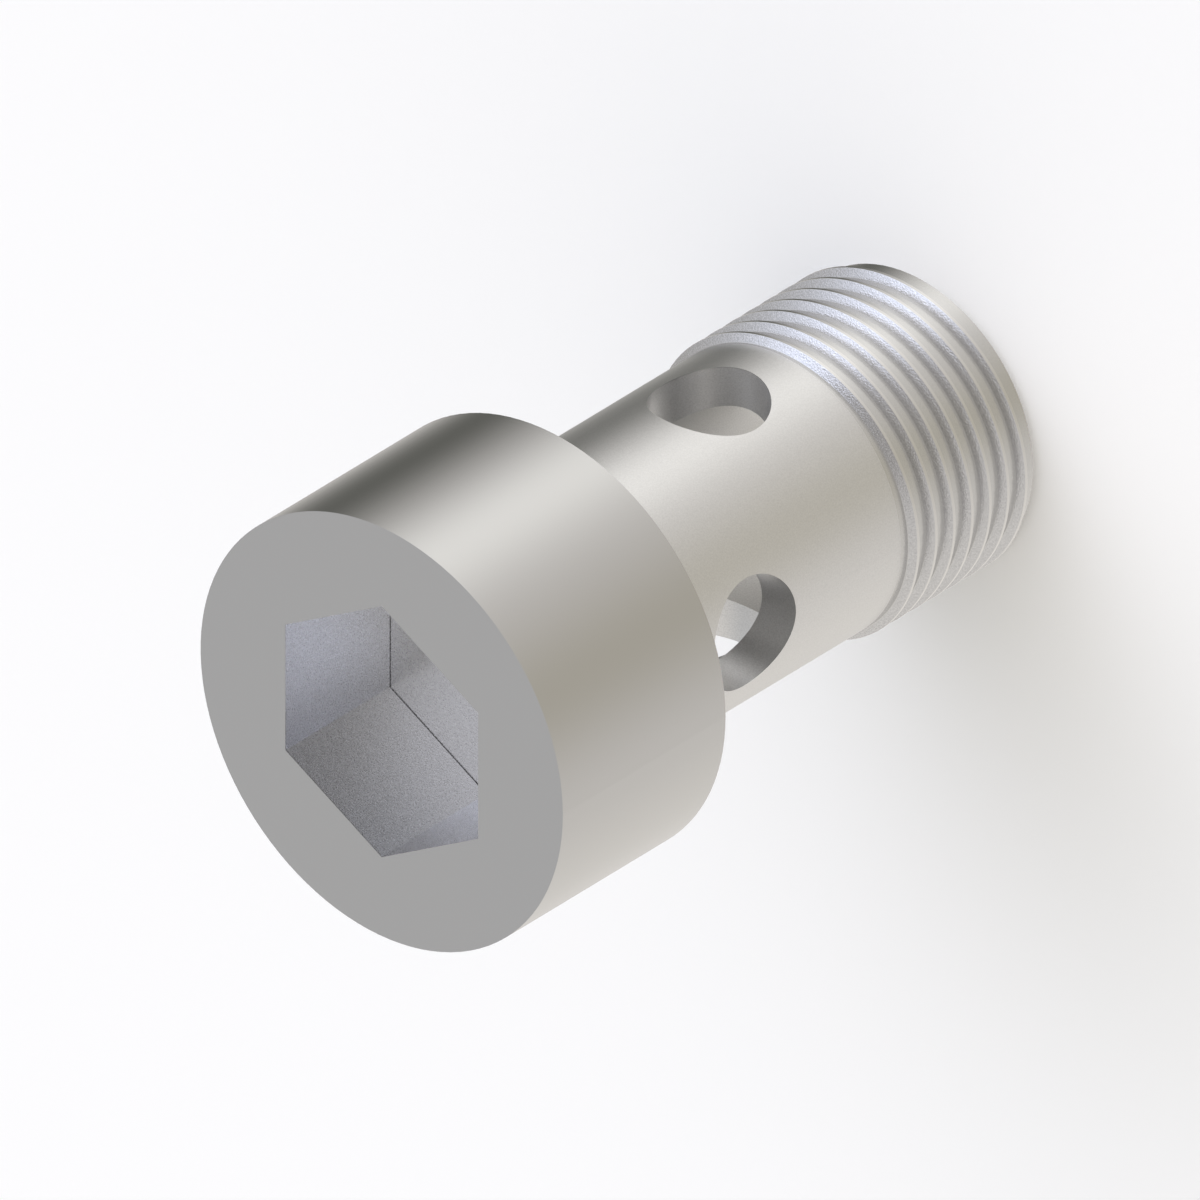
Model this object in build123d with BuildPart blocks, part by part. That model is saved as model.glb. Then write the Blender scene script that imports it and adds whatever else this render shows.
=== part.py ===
from build123d import *
from math import radians, tan
import os

# A banjo bolt: a hollow screw turned from one bar. Its head presses a ring-shaped hose
# fitting against a port, and fluid passes from the open threaded end, up the bore and
# out through two cross holes into the ring.
# Millimetres. The end face of the tip lies on XY with its centre at the origin, and +Z
# runs along the bolt to the head.

os.makedirs("parts", exist_ok=True)

# Head
head_diameter = 23.5
head_height = 12.1
socket_across_flats = 12.5
socket_depth = 7.8

# Plain shank that the fitting surrounds, from the seat under the head to the thread
shank_diameter = 15.8
grip_length = 17.45

# Right-hand thread G 3/8. Its ridge stands on a core as thick as the shank
thread_diameter = 16.662
thread_depth = 0.431
thread_pitch = 1.337
thread_turns = 7
thread_flank_angle = 27.5
thread_crest_width = 0.16
# The ridge rises from nothing to its full height over this length at either end
thread_runout = 0.25
thread_start_angle = -137
# Plain end below the thread
tip_length = 0.46

# Bore from the tip, closed by the cone of the drill below the socket
bore_diameter = 11.4
drill_point_angle = 118
web_thickness = 3.2

# Cross holes, each right through the shank, by the distance of its axis from the seat
cross_hole_diameter = 6.12
upper_hole_distance = 6.58
lower_hole_distance = 12.23

# Heights above the end face of the tip
thread_bottom = tip_length
thread_top = thread_bottom + thread_turns * thread_pitch
seat_height = thread_top + grip_length
overall_length = seat_height + head_height
socket_floor = overall_length - socket_depth
bore_apex = socket_floor - web_thickness
bore_end = bore_apex - bore_diameter / 2 / tan(radians(drill_point_angle / 2))

thread_radius = thread_diameter / 2
core_radius = thread_radius - thread_depth

# Thread ridge: a sharp triangle wound into a helix, whose foot reaches into the core.
# Its point is then taken off at the thread's diameter, and its two ends are faded out.
ridge_foot = 0.1
flank_slope = tan(radians(thread_flank_angle))
point_height = thread_depth + thread_crest_width / 2 / flank_slope
foot_half_width = (point_height + ridge_foot) * flank_slope

with BuildPart() as thread_ridge:
    with BuildLine() as ridge_path:
        Helix(
            pitch=thread_pitch,
            height=thread_top - thread_bottom,
            radius=core_radius,
            center=(0, 0, thread_bottom),
        )
    section_plane = Plane(
        origin=ridge_path.line @ 0, x_dir=(1, 0, 0), z_dir=ridge_path.line % 0
    )
    with BuildSketch(section_plane) as ridge_section:
        with BuildLine():
            Polyline(
                (-ridge_foot, -foot_half_width),
                (point_height, 0),
                (-ridge_foot, foot_half_width),
                close=True,
            )
        make_face()
    sweep(path=ridge_path.line, is_frenet=True)
    with BuildSketch(Plane.XZ) as crest_limit:
        with BuildLine():
            Polyline(
                (0, thread_bottom),
                (core_radius, thread_bottom),
                (thread_radius, thread_bottom + thread_runout),
                (thread_radius, thread_top - thread_runout),
                (core_radius, thread_top),
                (0, thread_top),
                close=True,
            )
        make_face()
    revolve(axis=Axis.Z, mode=Mode.INTERSECT)

with BuildPart() as banjo_bolt:
    # Half section of the turned outside: thread core, shank and head, one on the other
    with BuildSketch(Plane.XZ) as turned_section:
        Rectangle(core_radius, thread_top, align=(Align.MIN, Align.MIN))
        with Locations((0, thread_top)):
            Rectangle(shank_diameter / 2, grip_length, align=(Align.MIN, Align.MIN))
        with Locations((0, seat_height)):
            Rectangle(head_diameter / 2, head_height, align=(Align.MIN, Align.MIN))
    revolve(axis=Axis.Z)

    # Bore drilled from the tip, with the drill's cone at its end
    with BuildSketch(Plane.XZ) as bore_section:
        with BuildLine():
            Polyline(
                (0, 0),
                (bore_diameter / 2, 0),
                (bore_diameter / 2, bore_end),
                (0, bore_apex),
                close=True,
            )
        make_face()
    revolve(axis=Axis.Z, mode=Mode.SUBTRACT)

    # Hexagon socket, with two of its flats square to X
    with BuildSketch(Plane.XY.offset(overall_length)) as socket_section:
        RegularPolygon(
            radius=socket_across_flats / 2, side_count=6, major_radius=False, rotation=30
        )
    extrude(amount=-socket_depth, mode=Mode.SUBTRACT)

    # Upper cross hole along X, lower cross hole along Y
    with BuildSketch(Plane.YZ) as upper_hole_section:
        with Locations((0, seat_height - upper_hole_distance)):
            Circle(cross_hole_diameter / 2)
    extrude(amount=shank_diameter, both=True, mode=Mode.SUBTRACT)
    with BuildSketch(Plane.XZ) as lower_hole_section:
        with Locations((0, seat_height - lower_hole_distance)):
            Circle(cross_hole_diameter / 2)
    extrude(amount=shank_diameter, both=True, mode=Mode.SUBTRACT)

    add(thread_ridge.part, rotation=(0, 0, thread_start_angle))

banjo_bolt.part.label = "banjo_bolt"
export_step(banjo_bolt.part, "parts/banjo_bolt.step")
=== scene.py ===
from math import cos, radians, sin

import bpy
from mathutils import Matrix, Vector


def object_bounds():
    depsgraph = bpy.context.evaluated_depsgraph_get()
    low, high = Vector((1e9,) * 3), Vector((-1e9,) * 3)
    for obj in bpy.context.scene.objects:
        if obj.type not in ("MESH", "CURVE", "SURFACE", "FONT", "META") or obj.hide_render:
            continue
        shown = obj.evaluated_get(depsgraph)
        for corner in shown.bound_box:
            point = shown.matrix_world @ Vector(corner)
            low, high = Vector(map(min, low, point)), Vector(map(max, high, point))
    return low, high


# A banjo bolt of satin steel, standing on its threaded tip on a pale floor in a studio.
# Metres. The origin is the centre of the tip's end face, and +Z runs up to the head.

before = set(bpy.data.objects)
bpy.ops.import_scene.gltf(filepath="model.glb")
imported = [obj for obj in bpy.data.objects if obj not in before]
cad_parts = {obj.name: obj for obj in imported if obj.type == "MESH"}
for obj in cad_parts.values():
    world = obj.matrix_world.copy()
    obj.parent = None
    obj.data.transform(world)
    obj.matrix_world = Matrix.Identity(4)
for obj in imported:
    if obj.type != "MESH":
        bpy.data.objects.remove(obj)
cad_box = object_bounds()

# Camera: parallel view, by where it stands round the bolt and how far it is rolled
camera_azimuth = 43.32
camera_elevation = 39.83
camera_roll = -121.13
camera_distance = 0.3
# Where the centre of the head's end face lies in its square image, from the top left
image_width_px = 1200
pixels_per_metre = 20460
head_centre_px = (381.7, 731.7)

# Finishes of the steel: colour, roughness, and the share of the grain that shows. On this one
# steel the colour paints light and shade, lighter or darker from zone to zone.
finishes_and_painted_light = {
    # The shank's colour is set lighter than the head's: painted light.
    "shank": ((0.67, 0.67, 0.67), 0.33, 0.25),
    "head": ((0.55, 0.55, 0.55), 0.20, 0.04),
    "thread": ((0.59, 0.59, 0.59), 0.21, 0.12),
    "flank": ((0.57, 0.57, 0.58), 0.22, 0.6),
    # The thread's crest is set lighter than its flanks: a painted highlight along the crest.
    "crest_highlight": ((0.67, 0.665, 0.66), 0.20, 0.0),
    # The bore and the holes are set lighter than the head's steel: painted light in the holes.
    "bore_painted_lighter": ((0.765, 0.765, 0.765), 0.44, 0.4),
    # The socket's walls are set lighter and bluer than the head's steel: painted light with a
    # painted bluish reflection.
    "socket": ((0.76, 0.765, 0.79), 0.28, 0.6),
    # The socket's floor is set darker than its walls: painted shade at the bottom of the
    # socket.
    "shaded_socket_floor": ((0.495, 0.495, 0.495), 0.28, 0.6),
    # A thin near-black line in the socket's corner: painted shade.
    "painted_corner_shade": ((0.06, 0.06, 0.06), 0.28, 0.6),
}
# Where they meet: depths below the head's end face
head_height = 0.0121
thread_top_depth = 0.02955
socket_depth = 0.0078
# A surface this near to the socket's depth counts as its floor
socket_floor_tolerance = 0.000002
# Radii at which the flank and the crest of the thread begin
flank_radius = 0.00793
crest_radius = 0.00831
# The bore, the holes and the socket lie within this radius and below this depth
inside_radius = 0.00785
inside_depth = 0.00005
# Painted shade: a thin dark line in the sharp corner just above the socket's floor
corner_shade_lift = 0.000004
corner_shade_height = 0.00004
# Grain, by its cell, its height, and how far it moves the shade and the roughness
grain_cell = 0.00008
grain_detail = 1.0
grain_height = 0.000012
grain_shade = 0.45
grain_gloss = 0.3

# Studio: a plain surround with soft light cards that add to it and flags that dim it.
# Each is azimuth from the camera and elevation in degrees, sharpness, and colour.
surround_color = (0.870, 0.837, 0.803)
light_cards = {
    "low_side": (62, -25, 10.5, (0.618, 0.625, 0.604)),
    "high_side": (80, 54, 7.7, (2.06, 2.14, 2.51)),
    "wide_back": (-122, 0, 4.1, (0.148, 0.140, 0.110)),
}
flags = {
    "low_far": (129, -36, 6.0, (0.823, 0.815, 0.827)),
    "low_near": (-26, -45, 7.1, (0.254, 0.270, 0.346)),
    "high_back": (157, 71, 5.9, (0.80, 0.718, 0.612)),
}
# Under 1, the cards and flags are taller than they are wide
card_squash = 0.6

floor_color = (0.99, 0.99, 0.975)
floor_size = 8.0


def direction(azimuth, elevation):
    """Unit vector from the bolt, by angles in degrees about the room's axes."""
    a, e = radians(azimuth), radians(elevation)
    return Vector((cos(e) * cos(a), cos(e) * sin(a), sin(e)))


def add_camera(head_centre):
    """Parallel camera that puts the centre of the head's end face at its place in the image."""
    back = direction(camera_azimuth, camera_elevation)
    level_right = direction(camera_azimuth + 90, 0)
    level_up = back.cross(level_right)
    roll = radians(camera_roll)
    right = cos(roll) * level_right + sin(roll) * level_up
    up = back.cross(right)
    image_centre = image_width_px / 2
    aim = (
        head_centre
        + right * (image_centre - head_centre_px[0]) / pixels_per_metre
        + up * (head_centre_px[1] - image_centre) / pixels_per_metre
    )
    data = bpy.data.cameras.new("camera")
    data.type = "ORTHO"
    data.ortho_scale = image_width_px / pixels_per_metre
    camera = bpy.data.objects.new("camera", data)
    axes = Matrix((right, up, back)).transposed()
    camera.matrix_world = Matrix.Translation(aim + back * camera_distance) @ axes.to_4x4()
    bpy.context.scene.collection.objects.link(camera)
    bpy.context.scene.camera = camera


def new_node(tree, kind, **settings):
    """Node of that kind, with its settings given by name."""
    node = tree.nodes.new(kind)
    for name, value in settings.items():
        setattr(node, name, value)
    return node


def feed(tree, node, *values):
    """Link or set the inputs that a node uses, in order, and give its result."""
    sockets = [socket for socket in node.inputs if socket.enabled]
    for socket, value in zip(sockets, values):
        if isinstance(value, bpy.types.NodeSocket):
            tree.links.new(value, socket)
        else:
            socket.default_value = value
    return next(socket for socket in node.outputs if socket.enabled)


def vector_math(tree, operation, *values):
    """Result of an operation on vectors."""
    return feed(tree, new_node(tree, "ShaderNodeVectorMath", operation=operation), *values)


def scalar_math(tree, operation, *values):
    """Result of an operation on numbers."""
    return feed(tree, new_node(tree, "ShaderNodeMath", operation=operation), *values)


def mix(tree, data_type, factor, first, second):
    """The first value where the factor is 0, the second where it is 1."""
    node = new_node(tree, "ShaderNodeMix", data_type=data_type)
    return feed(tree, node, factor, first, second)


def card_glow(tree, ray, azimuth, elevation, sharpness):
    """Brightness of one soft card, 1 at its centre, by the direction that is looked along."""
    centre = direction(camera_azimuth + azimuth, elevation)
    centre.z *= card_squash
    towards = vector_math(tree, "DOT_PRODUCT", ray, centre.normalized())
    falloff = scalar_math(tree, "MULTIPLY_ADD", towards, sharpness, -sharpness)
    return scalar_math(tree, "EXPONENT", falloff)


def add_studio_light():
    """World that holds the plain surround, the cards and the flags."""
    world = bpy.data.worlds.new("studio")
    world.use_nodes = True
    tree = world.node_tree
    tree.nodes.clear()
    coordinates = new_node(tree, "ShaderNodeTexCoord").outputs["Generated"]
    squashed = vector_math(tree, "MULTIPLY", coordinates, (1, 1, card_squash))
    ray = vector_math(tree, "NORMALIZE", squashed)
    light = surround_color
    for azimuth, elevation, sharpness, color in light_cards.values():
        glow = card_glow(tree, ray, azimuth, elevation, sharpness)
        light = vector_math(tree, "MULTIPLY_ADD", glow, color, light)
    for azimuth, elevation, sharpness, color in flags.values():
        glow = card_glow(tree, ray, azimuth, elevation, sharpness)
        shade = vector_math(tree, "MULTIPLY", glow, color)
        left = vector_math(tree, "SUBTRACT", (1, 1, 1), shade)
        light = vector_math(tree, "MULTIPLY", light, left)
    background = new_node(tree, "ShaderNodeBackground")
    output = new_node(tree, "ShaderNodeOutputWorld")
    tree.links.new(light, background.inputs["Color"])
    tree.links.new(background.outputs["Background"], output.inputs["Surface"])
    bpy.context.scene.world = world


def add_floor():
    """Large pale floor at the height of the tip's end face."""
    half = floor_size / 2
    mesh = bpy.data.meshes.new("floor")
    corners = [(-half, -half, 0), (half, -half, 0), (half, half, 0), (-half, half, 0)]
    mesh.from_pydata(corners, [], [(0, 1, 2, 3)])
    floor = bpy.data.objects.new("floor", mesh)
    bpy.context.scene.collection.objects.link(floor)
    material = bpy.data.materials.new("floor")
    material.use_nodes = True
    shader = material.node_tree.nodes["Principled BSDF"]
    shader.inputs["Base Color"].default_value = (*floor_color, 1)
    shader.inputs["Roughness"].default_value = 1.0
    shader.inputs["Specular IOR Level"].default_value = 0.0
    mesh.materials.append(material)
    floor.visible_glossy = False


def zone_masks(tree, place, top):
    """Mask of each zone that is laid over the shank's finish, by name, later ones on top."""

    def above(value, limit):
        return scalar_math(tree, "GREATER_THAN", value, limit)

    def below(value, limit):
        return scalar_math(tree, "LESS_THAN", value, limit)

    def near(value, middle, reach):
        return scalar_math(tree, "COMPARE", value, middle, reach)

    def both(first, second):
        return scalar_math(tree, "MULTIPLY", first, second)

    height = vector_math(tree, "DOT_PRODUCT", place, (0, 0, 1))
    radius = vector_math(tree, "LENGTH", vector_math(tree, "MULTIPLY", place, (1, 1, 0)))
    in_head = above(height, top - head_height)
    in_thread = below(height, top - thread_top_depth)
    inside = both(below(height, top - inside_depth), below(radius, inside_radius))
    in_socket = both(in_head, inside)
    shaded_socket_floor = top - socket_depth
    at_socket_floor = near(height, shaded_socket_floor, socket_floor_tolerance)
    corner_shade_middle = shaded_socket_floor + corner_shade_lift + corner_shade_height / 2
    at_corner_shade = near(height, corner_shade_middle, corner_shade_height / 2)
    return {
        "head": in_head,
        "thread": in_thread,
        "flank": both(in_thread, above(radius, flank_radius)),
        # Painted highlight: the crest is lighter than the flanks.
        "crest_highlight": both(in_thread, above(radius, crest_radius)),
        # Painted light: the bore and the holes are lighter than the head.
        "bore_painted_lighter": inside,
        # Painted light and painted reflection: the socket's walls are lighter and bluer.
        "socket": in_socket,
        # Painted shade: the socket's floor is darker than its walls.
        "shaded_socket_floor": both(at_socket_floor, in_socket),
        # Painted shade: a thin dark line in the corner just above the socket's floor.
        "painted_corner_shade": both(at_corner_shade, in_socket),
    }


def steel(top):
    """Turned steel, with a finish for each zone of the bolt, colours that paint light and shade
    zone by zone, and a fine grain.
    """
    material = bpy.data.materials.new("steel")
    material.use_nodes = True
    tree = material.node_tree
    shader = tree.nodes["Principled BSDF"]
    shader.inputs["Metallic"].default_value = 1.0
    place = new_node(tree, "ShaderNodeTexCoord").outputs["Object"]

    shank_color, roughness, grain_share = finishes_and_painted_light["shank"]
    color = (*shank_color, 1)
    for name, mask in zone_masks(tree, place, top).items():
        zone_color, zone_roughness, zone_share = finishes_and_painted_light[name]
        color = mix(tree, "RGBA", mask, color, (*zone_color, 1))
        roughness = mix(tree, "FLOAT", mask, roughness, zone_roughness)
        grain_share = mix(tree, "FLOAT", mask, grain_share, zone_share)

    grain = new_node(tree, "ShaderNodeTexNoise")
    grain.inputs["Scale"].default_value = 1 / grain_cell
    grain.inputs["Detail"].default_value = grain_detail
    tree.links.new(place, grain.inputs["Vector"])
    level = grain.outputs["Fac"]
    # The noise runs from 0 to 1, and the swing from -1 to 1 times the zone's share
    centred = scalar_math(tree, "MULTIPLY_ADD", level, 2.0, -1.0)
    swing = scalar_math(tree, "MULTIPLY", centred, grain_share)
    shade = scalar_math(tree, "MULTIPLY_ADD", swing, grain_shade, 1.0)
    gloss = scalar_math(tree, "MULTIPLY_ADD", swing, grain_gloss, 1.0)
    grained_color = vector_math(tree, "MULTIPLY", color, shade)
    grained_roughness = scalar_math(tree, "MULTIPLY", roughness, gloss)
    bump = new_node(tree, "ShaderNodeBump")
    bump.inputs["Distance"].default_value = grain_height
    tree.links.new(grain_share, bump.inputs["Strength"])
    tree.links.new(level, bump.inputs["Height"])

    tree.links.new(grained_color, shader.inputs["Base Color"])
    tree.links.new(grained_roughness, shader.inputs["Roughness"])
    tree.links.new(bump.outputs["Normal"], shader.inputs["Normal"])
    return material


def dress_bolt(top):
    """Give the bolt its steel in place of its plain material."""
    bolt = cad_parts["banjo_bolt"]
    bolt.data.materials[0] = steel(top)


head_end = cad_box[1].z
add_camera(Vector((0, 0, head_end)))
add_studio_light()
add_floor()
dress_bolt(head_end)
bpy.context.scene.view_settings.view_transform = "Standard"
